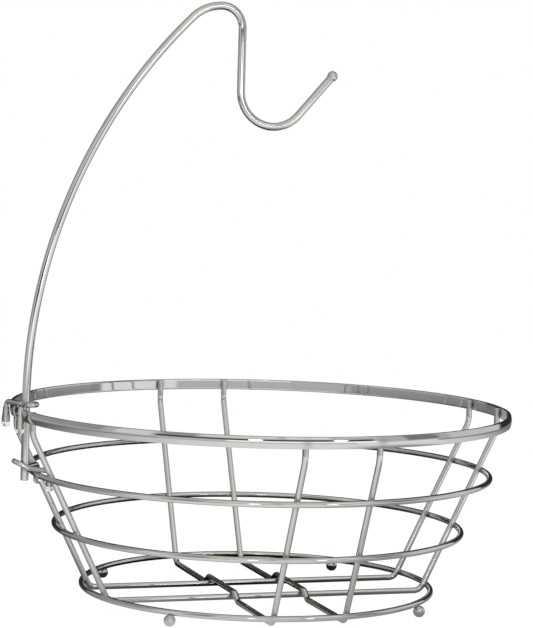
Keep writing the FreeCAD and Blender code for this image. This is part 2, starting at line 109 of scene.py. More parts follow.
def grid_faces(rows, columns, closed, start=0):
    """Four-cornered faces of a grid that always closes across and, if asked, along."""
    along = np.arange(rows if closed else rows - 1)[:, None]
    beside = np.arange(columns)[None, :]
    ahead, next_to = (along + 1) % rows, (beside + 1) % columns
    corners = (along * columns + beside, ahead * columns + beside,
               ahead * columns + next_to, along * columns + next_to)
    return np.stack(np.broadcast_arrays(*corners), -1).reshape(-1, 4) + start


def make_piece(name, grids, material, stands_for, marks=None, closed=False):
    """One object from grids of points in mm, which stands for nodes of the frame, if any.

    A closed grid joins its last row to its first. An open one gets a flat face over both ends.
    """
    quads, ends, start = [], [], 0
    for grid in grids:
        rows, columns = grid.shape[:2]
        quads.append(grid_faces(rows, columns, closed, start))
        if not closed:
            first = np.arange(columns) + start
            ends += [first, (first + (rows - 1) * columns)[::-1]]
        start += rows * columns
    quads = np.concatenate(quads)
    corners = np.concatenate([quads.ravel(), *ends])
    counts = np.array([4] * len(quads) + [len(end) for end in ends])
    mesh = bpy.data.meshes.new(name)
    mesh.vertices.add(start)
    mesh.vertices.foreach_set("co", np.concatenate([g.ravel() for g in grids]) * MM)
    mesh.loops.add(len(corners))
    mesh.loops.foreach_set("vertex_index", corners)
    mesh.polygons.add(len(counts))
    mesh.polygons.foreach_set("loop_start", np.cumsum(counts) - counts)
    mesh.polygons.foreach_set("use_smooth", counts == 4)
    for mark, values in (marks or {}).items():
        kind, field = ("FLOAT_VECTOR", "vector") if values.ndim == 2 else ("FLOAT", "value")
        mesh.attributes.new(mark, kind, "POINT").data.foreach_set(field, values.ravel())
    mesh.update(calc_edges=True)
    mesh.materials.append(material)
    piece = bpy.data.objects.new(name, mesh)
    bpy.context.scene.collection.objects.link(piece)
    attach(piece, "root")
    if stands_for:
        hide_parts(*stands_for)


def linear(hex_colour):
    """sRGB hex to linear red, green, blue and alpha."""
    parts = [int(hex_colour[i:i + 2], 16) / 255 for i in (1, 3, 5)]
    return [p / 12.92 if p <= 0.04045 else ((p + 0.055) / 1.055) ** 2.4 for p in parts] + [1.0]


def add(tree, kind, settings=None, **inputs):
    """Adds a node. A value that is a socket is linked, and anything else is set.

    An input is named with _ for each space, or by its number after a _ alone.
    """
    node = tree.nodes.new(kind)
    for name, value in (settings or {}).items():
        setattr(node, name, value)
    for name, value in inputs.items():
        key = int(name[1:]) if name[1:].isdigit() else name.replace("_", " ")
        if isinstance(value, bpy.types.NodeSocket):
            tree.links.new(value, node.inputs[key])
        else:
            node.inputs[key].default_value = value
    return node


def bare_material(name):
    """A material without nodes yet, and its tree."""
    material = bpy.data.materials.new(name)
    material.use_nodes = True
    material.node_tree.nodes.clear()
    return material, material.node_tree


def bright_chrome(name, tint, lines_per_mm, shine):
    """Nickel and chrome plate on steel that was polished before plating.

    A near mirror. Faint lines from rolling or drawing run along the metal, thin cloudy
    patches vary the shine, and the plate is duller and greyer over a weld.
    """
    material, tree = bare_material(name)
    unrolled = add(tree, "ShaderNodeAttribute", {"attribute_name": "drawn"}).outputs["Vector"]
    weld = add(tree, "ShaderNodeAttribute", {"attribute_name": "weld"}).outputs["Fac"]
    where = add(tree, "ShaderNodeTexCoord").outputs["Object"]
    # Lines run 60 times as long as they are wide
    stretched = add(tree, "ShaderNodeMapping", Vector=unrolled,
                    Scale=(lines_per_mm, lines_per_mm, lines_per_mm / 60)).outputs["Vector"]
    lines = add(tree, "ShaderNodeTexNoise", Vector=stretched, Scale=1.0, Detail=2.0,
                Roughness=0.5).outputs["Fac"]
    clouds = add(tree, "ShaderNodeTexNoise", Vector=where, Scale=55.0, Detail=3.0,
                 Roughness=0.6).outputs["Fac"]
    pits = add(tree, "ShaderNodeTexNoise", Vector=where, Scale=900.0, Detail=2.0).outputs["Fac"]

    hazy = add(tree, "ShaderNodeMapRange", Value=clouds, From_Min=0.35, From_Max=0.75,
               To_Min=shine, To_Max=shine + 0.02).outputs["Result"]
    lined = add(tree, "ShaderNodeMapRange", Value=lines, From_Min=0.45, From_Max=0.7,
                To_Min=0.0, To_Max=0.02).outputs["Result"]
    plate = add(tree, "ShaderNodeMath", {"operation": "ADD"}, _0=hazy, _1=lined).outputs[0]
    rough = add(tree, "ShaderNodeMath", {"operation": "MULTIPLY_ADD"},
                _0=weld, _1=0.14, _2=plate).outputs[0]
    stain = add(tree, "ShaderNodeMapRange", Value=clouds, From_Min=0.3, From_Max=0.6,
                To_Min=0.1, To_Max=0.0).outputs["Result"]
    dull = add(tree, "ShaderNodeMath", {"operation": "MULTIPLY_ADD", "use_clamp": True},
               _0=weld, _1=0.9, _2=stain).outputs[0]
    colour = add(tree, "ShaderNodeMix", {"data_type": "RGBA"}, _0=dull,
                 _6=linear(tint), _7=linear("#8F8E8A")).outputs[2]
    relief = add(tree, "ShaderNodeMath", {"operation": "MULTIPLY"}, _0=pits, _1=weld).outputs[0]
    bump = add(tree, "ShaderNodeBump", Strength=0.06, Distance=0.00002, Height=relief)
    shader = add(tree, "ShaderNodeBsdfPrincipled", Metallic=1.0, Base_Color=colour,
                 Roughness=rough, Normal=bump.outputs["Normal"])
    add(tree, "ShaderNodeOutputMaterial", Surface=shader.outputs["BSDF"])
    return material


def unroll(line, section):
    """Each point's place in the section and its run along the line, in mm."""
    run = np.concatenate([[0], np.cumsum(np.linalg.norm(np.diff(line, axis=0), axis=1))])
    flat = np.broadcast_to(section[None], (len(line), *section.shape))
    along = np.broadcast_to(run[:, None, None], (len(line), len(section), 1))
    return np.concatenate([flat, along], -1).reshape(-1, 3)


def near_weld(points, welds, reach):
    """1 at a weld, falling off with distance as a bell curve of that reach."""
    gap = np.linalg.norm(points.reshape(-1, 1, 3) - np.asarray(welds)[None], axis=2).min(1)
    return np.exp(-(gap / reach) ** 2)


# The wires up the wall come in pairs, this far to either side of the bowl's two middle planes
PAIR_OFFSET = 22.0


def pair_reach(radius):
    """How far along its own axis a paired wire stands, at a distance from the bowl's axis."""
    return math.sqrt(radius ** 2 - PAIR_OFFSET ** 2)


def eight_places(radius, height):
    """The eight points at that distance from the bowl's axis where the paired wires pass."""
    far = pair_reach(radius)
    places = [(far * end, PAIR_OFFSET * side, height) for end in (-1, 1) for side in (-1, 1)]
    return np.array(places + [(y, x, z) for x, y, z in places])


chrome_band = bright_chrome("bright chrome on rolled band", BRIGHT_CHROME, 1.6, 0.04)
rim_line = hoop(RIM_INNER, RIM_MIDDLE, HOOP_POINTS)
rim_section = band_section()
rim_grid = carry(rim_section, rim_line, (0, 0, 1), closed=True)
make_piece("rim_hoop", [rim_grid], chrome_band, ["rim_band"],
           {"drawn": unroll(rim_line, rim_section),
            "weld": near_weld(rim_grid, eight_places(RIM_INNER, RIM_MIDDLE), RIM_WELD_REACH)},
           closed=True)

# Three hoops of round wire below the rim, smaller towards the table. Each is one length of
# drawn wire, rolled, butt welded at the back and dressed, and welded outside the wall wires.

WIRE_RADIUS = 1.8
WALL_ANGLE = math.radians(25.3)
FOOT_RADIUS = 3.5
FOOT_OUTSET = 2.2
FOOT_SINK = 0.4
BASE_HEIGHT = FOOT_RADIUS + math.sqrt(
    (FOOT_RADIUS + WIRE_RADIUS - FOOT_SINK) ** 2 - FOOT_OUTSET ** 2)
BASE_RADIUS = 106.7
UPPER_HEIGHT = 79.0
MIDDLE_HEIGHT = 44.6
# Each ring's height, and the angle of its butt weld in degrees
HOOPS = {"upper_ring": (UPPER_HEIGHT, 87.0), "middle_ring": (MIDDLE_HEIGHT, 93.0),
         "base_ring": (BASE_HEIGHT, 90.0)}
BUTT_SWELL = 0.05
BUTT_REACH = 1.1
WIRE_WELD_REACH = 2.3


def wall_radius(height):
    """Radius of the rings' cone at a height: the base ring's, plus the rise times the slope."""
    return BASE_RADIUS + (height - BASE_HEIGHT) * math.tan(WALL_ANGLE)


def round_section(radius, count=36):
    """A circle of even points, as (outward, up) in mm."""
    angle = np.linspace(0, 2 * math.pi, count, endpoint=False)
    return radius * np.stack([np.cos(angle), np.sin(angle)], 1)


chrome_wire = bright_chrome("bright chrome on drawn wire", BRIGHT_CHROME, 2.2, 0.03)
wire_section = round_section(WIRE_RADIUS)

for node, (height, butt_angle) in HOOPS.items():
    radius = wall_radius(height)
    ring_line = hoop(radius, height, HOOP_POINTS)
    turn = np.degrees(np.arctan2(ring_line[:, 1], ring_line[:, 0])) - butt_angle
    from_butt = np.radians((turn + 180) % 360 - 180) * radius
    # The dressed butt weld is a twentieth thicker: a bell curve along the wire
    swell = 1 + BUTT_SWELL * np.exp(-(from_butt / BUTT_REACH) ** 2)
    ring_grid = carry(wire_section, ring_line, (0, 0, 1), closed=True, swell=swell)
    make_piece(f"{node}_wire", [ring_grid], chrome_wire, [node],
               {"drawn": unroll(ring_line, wire_section),
                "weld": near_weld(ring_grid, eight_places(radius - WIRE_RADIUS, height),
                                  WIRE_WELD_REACH)}, closed=True)

# Long wires: each runs from the rim down the wall, across the floor and up the far wall in one
# piece. One pair lies level in the floor, and the other steps up over it where they cross.

WELD_SINK = 0.3
WIRE_INSET = (2 * WIRE_RADIUS - WELD_SINK) / math.cos(WALL_ANGLE)
RIB_END = RIM_TOP - 0.4
CROSS_FLOOR = BASE_HEIGHT - 2.7
STEPPED_FLOOR = BASE_HEIGHT - 3.9
STEP_TOP = CROSS_FLOOR + 2 * WIRE_RADIUS - WELD_SINK
STEP_TOP_REACH = PAIR_OFFSET + WIRE_RADIUS + 3.0
STEP_FOOT_REACH = STEP_TOP_REACH + 7.0
WALL_BEND, FLOOR_BEND, STEP_BEND = 15.0, 6.0, 5.0
WIRE_DEBUR = 0.35
RING_WELD_INSET, RIM_WELD_INSET = 0.2, 0.5
POINT_SPACING = 0.9


def between(start, end):
    """Points from one to the other, about 0.9 mm apart."""
    count = max(int(np.linalg.norm(end - start) / POINT_SPACING), 2)
    return np.linspace(start, end, count)


def bent_line(corners, bends):
    """The centre line of a wire bent at each inner corner.

    Straight runs, and at each corner an arc of the bend's radius that touches both runs: the
    arc's middle plus the radius times (cos, sin) of the turn, from its first spoke.
    """
    corners = np.asarray(corners, dtype=float)
    parts, here = [], corners[0]
    for before, corner, after, bend in zip(corners, corners[1:], corners[2:], bends):
        back = (before - corner) / np.linalg.norm(before - corner)
        onward = (after - corner) / np.linalg.norm(after - corner)
        half = math.acos(back @ onward) / 2
        halfway = (back + onward) / np.linalg.norm(back + onward)
        start = corner + back * bend / math.tan(half)
        middle = corner + halfway * bend / math.sin(half)
        turn = np.linspace(0, math.pi - 2 * half, 16)[:, None]
        bow = middle + np.cos(turn) * (start - middle) - np.sin(turn) * bend * back
        parts += [between(here, start)[:-1], bow[:-1]]
        here = bow[-1]
    return np.concatenate(parts + [between(here, corners[-1])])


def with_cut_ends(line, radius, edge):
    """Gives a line sheared and deburred ends: its points, and the swell at each.

    At each end the section grows round a quarter arc: radius less edge plus edge times sine,
    at a depth of edge less edge times cosine, and a hair more to keep the points apart.
    """
    turn = np.linspace(0, math.pi / 2, 6)
    depth = edge - edge * np.cos(turn) + np.linspace(0, 0.002, 6)
    grow = 1 - edge / radius * (1 - np.sin(turn))
    first = line[0] + (line[1] - line[0]) / np.linalg.norm(line[1] - line[0]) * depth[:, None]
    last = line[-1] + (line[-2] - line[-1]) / np.linalg.norm(line[-2] - line[-1]) * depth[:, None]
    points = np.concatenate([first, line[1:-1], last[::-1]])
    return points, np.concatenate([grow, np.ones(len(line) - 2), grow[::-1]])


AT_RIM = pair_reach(RIM_INNER - WIRE_RADIUS + WELD_SINK)
AT_BASE = pair_reach(BASE_RADIUS - WIRE_INSET)
AT_UPPER = pair_reach(wall_radius(UPPER_HEIGHT) - WIRE_INSET)
LEAN = (AT_UPPER - AT_BASE) / (UPPER_HEIGHT - BASE_HEIGHT)
RIM_CORNER = BASE_HEIGHT + (AT_RIM - AT_BASE) / LEAN


def half_wire(stepped):
    """The corners of half a long wire as (along, up) with the bend at each, from the rim in."""
    wall = [(AT_RIM, RIB_END, None), (AT_RIM, RIM_CORNER, WALL_BEND)]
    if not stepped:
        return wall + [(AT_BASE - LEAN * (BASE_HEIGHT - CROSS_FLOOR), CROSS_FLOOR, FLOOR_BEND)]
    return wall + [(AT_BASE - LEAN * (BASE_HEIGHT - STEPPED_FLOOR), STEPPED_FLOOR, FLOOR_BEND),
                   (STEP_FOOT_REACH, STEPPED_FLOOR, STEP_BEND),
                   (STEP_TOP_REACH, STEP_TOP, STEP_BEND)]


# Where the plate is dull over the welds: a little inside the rings' and the rim's inner faces
wall_welds = np.concatenate(
    [eight_places(wall_radius(height) - WIRE_INSET / 2 - RING_WELD_INSET, height)
     for height, _ in HOOPS.values()]
    + [eight_places(RIM_INNER - RIM_WELD_INSET, RIM_MIDDLE)])
floor_welds = np.array([(x, y, (CROSS_FLOOR + STEP_TOP) / 2)
                        for x in (-PAIR_OFFSET, PAIR_OFFSET) for y in (-PAIR_OFFSET, PAIR_OFFSET)])

LONG_WIRES = {"cross_wire_front": (False, -PAIR_OFFSET), "cross_wire_back": (False, PAIR_OFFSET),
              "stepped_wire_left": (True, -PAIR_OFFSET), "stepped_wire_right": (True, PAIR_OFFSET)}
for node, (stepped, offset) in LONG_WIRES.items():
    half = half_wire(stepped)
    flat = [(-along, up) for along, up, _ in half] + [(along, up) for along, up, _ in half[::-1]]
    corners = [(offset, along, up) if stepped else (along, offset, up) for along, up in flat]
    bends = [bend for _, _, bend in half[1:]]
    bent = bent_line(corners, bends + bends[::-1])
    wire_line, swell = with_cut_ends(bent, WIRE_RADIUS, WIRE_DEBUR)
    across = (1, 0, 0) if stepped else (0, 1, 0)
    wire_grid = carry(wire_section, wire_line, across, swell=swell)
    make_piece(f"{node}_bent", [wire_grid], chrome_wire, [node],
               {"drawn": unroll(wire_line, wire_section),
                "weld": near_weld(wire_grid, np.concatenate([wall_welds, floor_welds]),
                                  WIRE_WELD_REACH)})

# Ball feet: solid steel balls, resistance welded under the base ring midway between the pairs
# of wires and a little outside it, and plated with the bowl.

FOOT_ANGLES = {"front_left": 225, "front_right": 315, "back_left": 135, "back_right": 45}
FOOT_WELD_REACH = 1.6
# The lines of the plate follow a ball's own points, this far apart
LINES_ON_BALL = 0.3


def ball(center, radius, pole, rows=28, columns=48):
    """A sphere as a grid about a pole: centre plus radius times (sin, cos) of the colatitude.

    It stops 4 degrees short of the poles, where the piece gets its small flat end faces.
    """
    pole = np.asarray(pole, dtype=float) / np.linalg.norm(pole)
    side = np.cross(pole, (0.3, 0.5, 0.8))
    side /= np.linalg.norm(side)
    up = np.cross(side, pole)
    down = np.radians(np.linspace(4, 176, rows))[:, None, None]
    turn = np.linspace(0, 2 * math.pi, columns, endpoint=False)[None, :, None]
    spoke = np.cos(turn) * side + np.sin(turn) * up
    return np.asarray(center) + radius * (np.sin(down) * spoke - np.cos(down) * pole)


foot_welds = []
for place, angle in FOOT_ANGLES.items():
    outward = np.array([math.cos(math.radians(angle)), math.sin(math.radians(angle)), 0])
    center = outward * (BASE_RADIUS + FOOT_OUTSET) + (0, 0, FOOT_RADIUS)
    to_ring = outward * BASE_RADIUS + (0, 0, BASE_HEIGHT) - center
    to_ring /= np.linalg.norm(to_ring)
    foot_welds.append((center + to_ring * (FOOT_RADIUS - FOOT_SINK / 2), to_ring))
    foot_grid = ball(center, FOOT_RADIUS, to_ring)
    foot_points = foot_grid.reshape(-1, 3)
    make_piece(f"foot_{place}_ball", [foot_grid], chrome_wire, [f"foot_{place}"],
               {"drawn": foot_points * LINES_ON_BALL,
                "weld": near_weld(foot_grid, [foot_welds[-1][0]], FOOT_WELD_REACH)})

# Hanger: one thicker rod, sheared at its foot, bent into a long arch, a tight crown, a straight
# stem and a round hook whose arm rises to a steel ball.

ROD_RADIUS = 2.4
ROD_STANDOFF = 146.3
ROD_FOOT = 74.8
ARCH_BEND = 322.0
CROWN_TOP = 359.2
CROWN_OUTER = 26.0
CROWN_INNER = 13.0
STEM_OFFSET = 18.5
HOOK_BEND = 21.0
HOOK_BOTTOM = 287.8
ARM_ANGLE = 41.2
ARM_LENGTH = 32.5
BALL_RADIUS = 3.2
ARM_IN_BALL, BALL_WELD_DEPTH = 1.6, 0.7
ROD_DEBUR = 0.45
ROD_WELD_REACH, BALL_WELD_REACH = 2.0, 1.5

crown_x = -(STEM_OFFSET + CROWN_INNER)
arch_x = ARCH_BEND - ROD_STANDOFF
arch_rise = math.sqrt((ARCH_BEND - CROWN_OUTER) ** 2 - (arch_x - crown_x) ** 2)
arch_z = CROWN_TOP - CROWN_OUTER - arch_rise
meet = math.degrees(math.atan2(arch_rise, crown_x - arch_x))
hook_x, hook_z = HOOK_BEND - STEM_OFFSET, HOOK_BOTTOM + HOOK_BEND
arm_way = np.array([math.sin(math.radians(ARM_ANGLE)), math.cos(math.radians(ARM_ANGLE))])
hook_arc = arc((hook_x, hook_z), HOOK_BEND, 180, 360 - ARM_ANGLE, 70)
ball_center = hook_arc[-1] + arm_way * ARM_LENGTH


def rod_line():
    """The rod's centre line as (along, up): runs and arcs that touch each other, end to end."""
    stem_top, stem_foot = (-STEM_OFFSET, CROWN_TOP - CROWN_INNER), (-STEM_OFFSET, hook_z)
    runs = [
        between(np.array([-ROD_STANDOFF, ROD_FOOT]), np.array([-ROD_STANDOFF, arch_z])),
        arc((arch_x, arch_z), ARCH_BEND, 180, meet, 300),
        arc((crown_x, CROWN_TOP - CROWN_OUTER), CROWN_OUTER, meet, 90, 40),
        arc((crown_x, CROWN_TOP - CROWN_INNER), CROWN_INNER, 90, 0, 40),
        between(np.array(stem_top), np.array(stem_foot)),
        hook_arc,
        between(hook_arc[-1], ball_center - arm_way * (BALL_RADIUS - ARM_IN_BALL)),
    ]
    flat = np.concatenate([runs[0]] + [run[1:] for run in runs[1:]])
    return np.stack([flat[:, 0], 0 * flat[:, 0], flat[:, 1]], 1)


# The clips of the next section are welded to the rod on both sides, at two heights
CLIP_RADIUS = 1.5
CLIP_SINK = 0.2
SEAT_GAP = 0.05
CLIP_HEIGHTS = (RIM_TOP + CLIP_RADIUS + SEAT_GAP,
                UPPER_HEIGHT + WIRE_RADIUS + CLIP_RADIUS + SEAT_GAP)
clip_welds = [(np.array([-ROD_STANDOFF, side * (ROD_RADIUS - CLIP_SINK / 2), height]),
               np.array([0.0, side, 0.0])) for height in CLIP_HEIGHTS for side in (-1, 1)]

chrome_rod = bright_chrome("bright chrome on bent rod", BRIGHT_CHROME, 1.8, 0.03)
rod_section = round_section(ROD_RADIUS, 44)
hanger_line, swell = with_cut_ends(rod_line(), ROD_RADIUS, ROD_DEBUR)
hanger_grid = carry(rod_section, hanger_line, (0, 1, 0), swell=swell)
ball_spot = np.array([ball_center[0], 0, ball_center[1]])
arm_end = ball_spot - np.array([arm_way[0], 0, arm_way[1]]) * (BALL_RADIUS - BALL_WELD_DEPTH)
make_piece("hanger_rod_bent", [hanger_grid], chrome_rod, ["hanger_rod"],
           {"drawn": unroll(hanger_line, rod_section),
            "weld": near_weld(hanger_grid, [spot for spot, _ in clip_welds] + [arm_end],
                              ROD_WELD_REACH)})
ball_grid = ball(ball_spot, BALL_RADIUS, (arm_way[0], 0, arm_way[1]))
make_piece("hook_end_ball", [ball_grid], chrome_rod, ["hook_ball"],
           {"drawn": ball_grid.reshape(-1, 3) * LINES_ON_BALL,
            "weld": near_weld(ball_grid, [arm_end], BALL_WELD_REACH)})

# Clips: at each height a U of thinner wire is welded round the rod, and its arms spread over
# the rim or the upper ring and bend down as two legs, outside the rim and inside the ring.

CLIP_GAP = ROD_RADIUS + CLIP_RADIUS - CLIP_SINK
CLIP_BEND = 3.0
CLOSED_REACH = 6.4
FLARE_START = 1.5
TIP_RADIUS = 2.7
CLIP_DEBUR = 0.25
CLIP_WELD_REACH = 1.8
UPPER_SPREAD, UPPER_LEG = 19.0, 12.4
LOWER_SPREAD, LOWER_LEG, CLOSED_RISE = 16.0, 9.2, 4.0
UPPER_REACH = math.sqrt((RIM_RADIUS + TIP_RADIUS + SEAT_GAP) ** 2 - UPPER_SPREAD ** 2)
LOWER_REACH = math.sqrt(
    (wall_radius(UPPER_HEIGHT) - WIRE_RADIUS - TIP_RADIUS - SEAT_GAP) ** 2 - LOWER_SPREAD ** 2)
# Each clip's outward side, its legs' reach and spread, its height, its legs' length, and how far
# its closed end rises
CLIPS = {"upper": (1, UPPER_REACH, UPPER_SPREAD, CLIP_HEIGHTS[0], UPPER_LEG, 0.0),
         "lower": (-1, LOWER_REACH, LOWER_SPREAD, CLIP_HEIGHTS[1], LOWER_LEG, CLOSED_RISE)}
clip_section = round_section(CLIP_RADIUS, 32)

for place, (outward, reach, spread, height, leg, closed_rise) in CLIPS.items():
    half = [(-reach, spread, height - leg), (-reach, spread, height),
            (-ROD_STANDOFF - outward * FLARE_START, CLIP_GAP, height),
            (-ROD_STANDOFF + outward * CLOSED_REACH, CLIP_GAP, height + closed_rise)]
    corners = half + [(x, -y, z) for x, y, z in reversed(half)]
    # The closed end is one half turn: two bends a hair tighter than half the gap
    bends = [CLIP_BEND, CLIP_BEND, CLIP_GAP - 0.01]
    bent = bent_line(corners, bends + bends[::-1])
    clip_line, swell = with_cut_ends(bent, CLIP_RADIUS, CLIP_DEBUR)
    clip_grid = carry(clip_section, clip_line, (1, 0, -outward), swell=swell)
    make_piece(f"{place}_clip_bent", [clip_grid], chrome_rod, [f"{place}_clip"],
               {"drawn": unroll(clip_line, clip_section),
                "weld": near_weld(clip_grid, [spot for spot, _ in clip_welds],
                                  CLIP_WELD_REACH)})

# Weld nuggets: where crossed wires were pressed together red hot, a little metal is squeezed
# out round the joint. It is plated over, and stands in the corners between the wires.

# Each kind's reach from the joint's middle, and its depth either way
CROSSED, ON_RIM, ON_FOOT, ON_CLIP = (1.5, 0.55), (1.35, 0.4), (1.75, 0.5), (1.15, 0.45)
RIM_DROPS = (2.2, 4.8)
NUGGET_DULLNESS = 0.8


def nugget(center, normal, size, lobes=0.14, rows=9, columns=24):
    """A flattened ball across a joint: a low disc whose rim waves out in four lobes.

    Spoke length is the reach times (1 - lobes cos 4 turn) times the sine of the colatitude,
    and the height along the joint's normal is the depth times its cosine.
    """
    reach, depth = size
    normal = np.asarray(normal, dtype=float) / np.linalg.norm(normal)
    side = np.cross(normal, (0, 0, 1) if abs(normal[2]) < 0.9 else (1, 0, 0))
    side /= np.linalg.norm(side)
    up = np.cross(side, normal)
    down = np.radians(np.linspace(8, 172, rows))[:, None, None]
    turn = np.linspace(0, 2 * math.pi, columns, endpoint=False)[None, :, None]
    spoke = reach * (1 - lobes * np.cos(4 * turn)) * (np.cos(turn) * side + np.sin(turn) * up)
    return np.asarray(center) + np.sin(down) * spoke - np.cos(down) * depth * normal


def away_from_axis(spot):
    """The level direction from the bowl's axis to a point."""
    return np.array([spot[0], spot[1], 0]) / math.hypot(spot[0], spot[1])


nuggets = []
for height, _ in HOOPS.values():
    for spot in eight_places(wall_radius(height) - WIRE_INSET, height):
        outward = away_from_axis(spot)
        normal = outward * math.cos(WALL_ANGLE) - np.array([0, 0, math.sin(WALL_ANGLE)])
        ring_spot = outward * wall_radius(height) + (0, 0, height)
        nuggets.append(nugget(ring_spot - normal * (WIRE_RADIUS - WELD_SINK / 2), normal, CROSSED))
for drop in RIM_DROPS:
    for spot in eight_places(RIM_INNER - WELD_SINK / 2, RIM_TOP - drop):
        nuggets.append(nugget(spot, away_from_axis(spot), ON_RIM, lobes=0.0))
nuggets += [nugget(spot, (0, 0, 1), CROSSED) for spot in floor_welds]
nuggets += [nugget(spot, way, ON_FOOT, lobes=0.0) for spot, way in foot_welds]
nuggets += [nugget(spot, way, ON_CLIP) for spot, way in clip_welds]
nugget_points = np.concatenate([n.reshape(-1, 3) for n in nuggets])
make_piece("weld_nuggets", nuggets, chrome_wire, (),
           {"drawn": nugget_points * LINES_ON_BALL,
            "weld": np.full(len(nugget_points), NUGGET_DULLNESS)})

# Leg tips: soft clear vinyl, dipped onto the clips' legs so that they grip the bowl without
# scratching it. Thin at the top, full and round at the end, and slightly yellow with age.

TIP_LENGTHS = {"upper": 12.0, "lower": 8.8}
TIP_END = 3.0
TIP_LIP = 0.4
TIP_GRIP = 0.03
LEG_END_GAP = 0.05


def clear_vinyl():
    """Plasticised PVC from a dip tank: clear, soft gloss, faintly cloudy, straw coloured."""
    material, tree = bare_material("clear dipped vinyl")
    where = add(tree, "ShaderNodeTexCoord").outputs["Object"]
    haze = add(tree, "ShaderNodeTexNoise", Vector=where, Scale=260.0, Detail=2.0).outputs["Fac"]
    cloudy = add(tree, "ShaderNodeMix", {"data_type": "RGBA"}, _0=haze,
                 _6=linear("#F1F4F4"), _7=linear("#E6E9E1")).outputs[2]
    rough = add(tree, "ShaderNodeMath", {"operation": "MULTIPLY_ADD"},
                _0=haze, _1=0.03, _2=0.02).outputs[0]
    bump = add(tree, "ShaderNodeBump", Strength=0.04, Distance=0.0001, Height=haze)
    shader = add(tree, "ShaderNodeBsdfPrincipled", IOR=1.53, Transmission_Weight=1.0,
                 Base_Color=cloudy, Roughness=rough, Normal=bump.outputs["Normal"])
    add(tree, "ShaderNodeOutputMaterial", Surface=shader.outputs["BSDF"])
    return material


def dipped_tip(foot, length):
    """A tip as a turned shape: rows of (radius, height) spun about the leg.

    From the middle of the round end up the side, which narrows as a smooth step to a thin
    lip, over it, and down the bore to the end of the leg. Both ends stop just short of the
    middle, where the piece gets its small flat end faces.
    """
    dome = arc((0, TIP_RADIUS), TIP_RADIUS, -86, 0, 14)
    rise = np.linspace(0, 1, 18)[1:]
    top = CLIP_RADIUS + TIP_LIP
    ease = rise * rise * (3 - 2 * rise)
    side = np.stack([TIP_RADIUS + (top - TIP_RADIUS) * ease,
                     TIP_RADIUS + (length - TIP_RADIUS - TIP_LIP / 2) * rise], 1)
    middle = CLIP_RADIUS + TIP_LIP / 2
    lip = arc((middle, side[-1, 1]), TIP_LIP / 2, 0, 180, 8)[1:]
    inside = CLIP_RADIUS - TIP_GRIP
    leg_end = TIP_END + LEG_END_GAP
    bore = [(inside, side[-1, 1] - TIP_LIP / 2), (inside, leg_end), (0.1, leg_end)]
    outline = np.concatenate([dome, side, lip, bore])[::-1]
    turn = np.linspace(0, 2 * math.pi, 40, endpoint=False)
    radius, height = outline[:, :1], outline[:, 1:]
    return np.stack([foot[0] + radius * np.cos(turn), foot[1] + radius * np.sin(turn),
                     foot[2] + height + 0 * turn], -1)


vinyl = clear_vinyl()
for place, (_, reach, spread, height, leg, _) in CLIPS.items():
    for end, side in (("front", -1), ("back", 1)):
        foot = (-reach, side * spread, height - leg - TIP_END)
        node = f"{place}_tip_{end}"
        make_piece(f"{node}_dipped", [dipped_tip(foot, TIP_LENGTHS[place])], vinyl,
                   [node])

# Studio: a sheet of white paper under the bowl and a white surround. The chrome alone sees painted
# reflections: a glowing card painted as a dim room with soft boxes, a bright table in front with
# painted shade, and dark far walls, which give it its shape.

CAMERA_TURN = math.radians(18.2)
# The studio's sizes are in metres
SHEET_RADIUS = 0.75
SHEEN_HEIGHT = 0.0003
ROOM_RADIUS = 6.0
SURROUND_LIGHT = 0.72
# Tints of the painted room and table reflections
COOL, WARM, PLAIN = "#F5F7F4", "#FCF8EA", "#FFFFFF"
# The painted room's own glow level at the sides, and what it gains in front and loses behind
ROOM_LEVEL, ROOM_GAIN = 0.50, 0.10
# The painted table reflection's darkest level and what it gains on its brightest side, and where
# that side is
TABLE_LEVEL, TABLE_GAIN, TABLE_SIDE = 0.08, 0.88, 25


def stage_prop(name, points, faces, material):
    """A piece of the studio from points in metres."""
    mesh = bpy.data.meshes.new(name)
    mesh.from_pydata(points.reshape(-1, 3).tolist(), [], faces)
    mesh.materials.append(material)
    prop = bpy.data.objects.new(name, mesh)
    bpy.context.scene.collection.objects.link(prop)
    return prop


def background_rays(tree):
    """1 for rays from the camera, and from the metal and the vinyl by reflection or through."""
    ray = add(tree, "ShaderNodeLightPath")
    seen = add(tree, "ShaderNodeMath", {"operation": "MAXIMUM"},
               _0=ray.outputs["Is Camera Ray"], _1=ray.outputs["Is Glossy Ray"]).outputs[0]
    return add(tree, "ShaderNodeMath", {"operation": "MAXIMUM"},
               _0=seen, _1=ray.outputs["Is Transmission Ray"]).outputs[0]


def white_paper():
    """Matt white paper. It is lifted towards pure white as background, and keeps the shadow."""
    material, tree = bare_material("white studio paper")
    sheet = add(tree, "ShaderNodeBsdfDiffuse", Color=linear("#F8F8F8"))
    lift = add(tree, "ShaderNodeEmission", Strength=1.08)
    share = add(tree, "ShaderNodeMath", {"operation": "MULTIPLY"},
                _0=background_rays(tree), _1=0.85).outputs[0]
    both = add(tree, "ShaderNodeMixShader", _0=share, _1=sheet.outputs["BSDF"],
               _2=lift.outputs["Emission"])
    add(tree, "ShaderNodeOutputMaterial", Surface=both.outputs["Shader"])
    return material


sheet_points = np.concatenate([[(0.0, 0.0, 0.0)], hoop(SHEET_RADIUS, 0.0, 96)])
stage_prop("paper_sheet", sheet_points, [(0, 1 + n, 1 + (n + 1) % 96) for n in range(96)],
           white_paper())

surround = bpy.data.worlds.new("white surround")
bpy.context.scene.world = surround
surround.use_nodes = True
sky = surround.node_tree
sky.nodes.clear()
level = add(sky, "ShaderNodeMix", {"data_type": "FLOAT"}, _0=background_rays(sky),
            _2=SURROUND_LIGHT, _3=1.0).outputs[0]
white = add(sky, "ShaderNodeBackground", Color=(1, 1, 1, 1), Strength=level)
add(sky, "ShaderNodeOutputWorld", Surface=white.outputs["Background"])


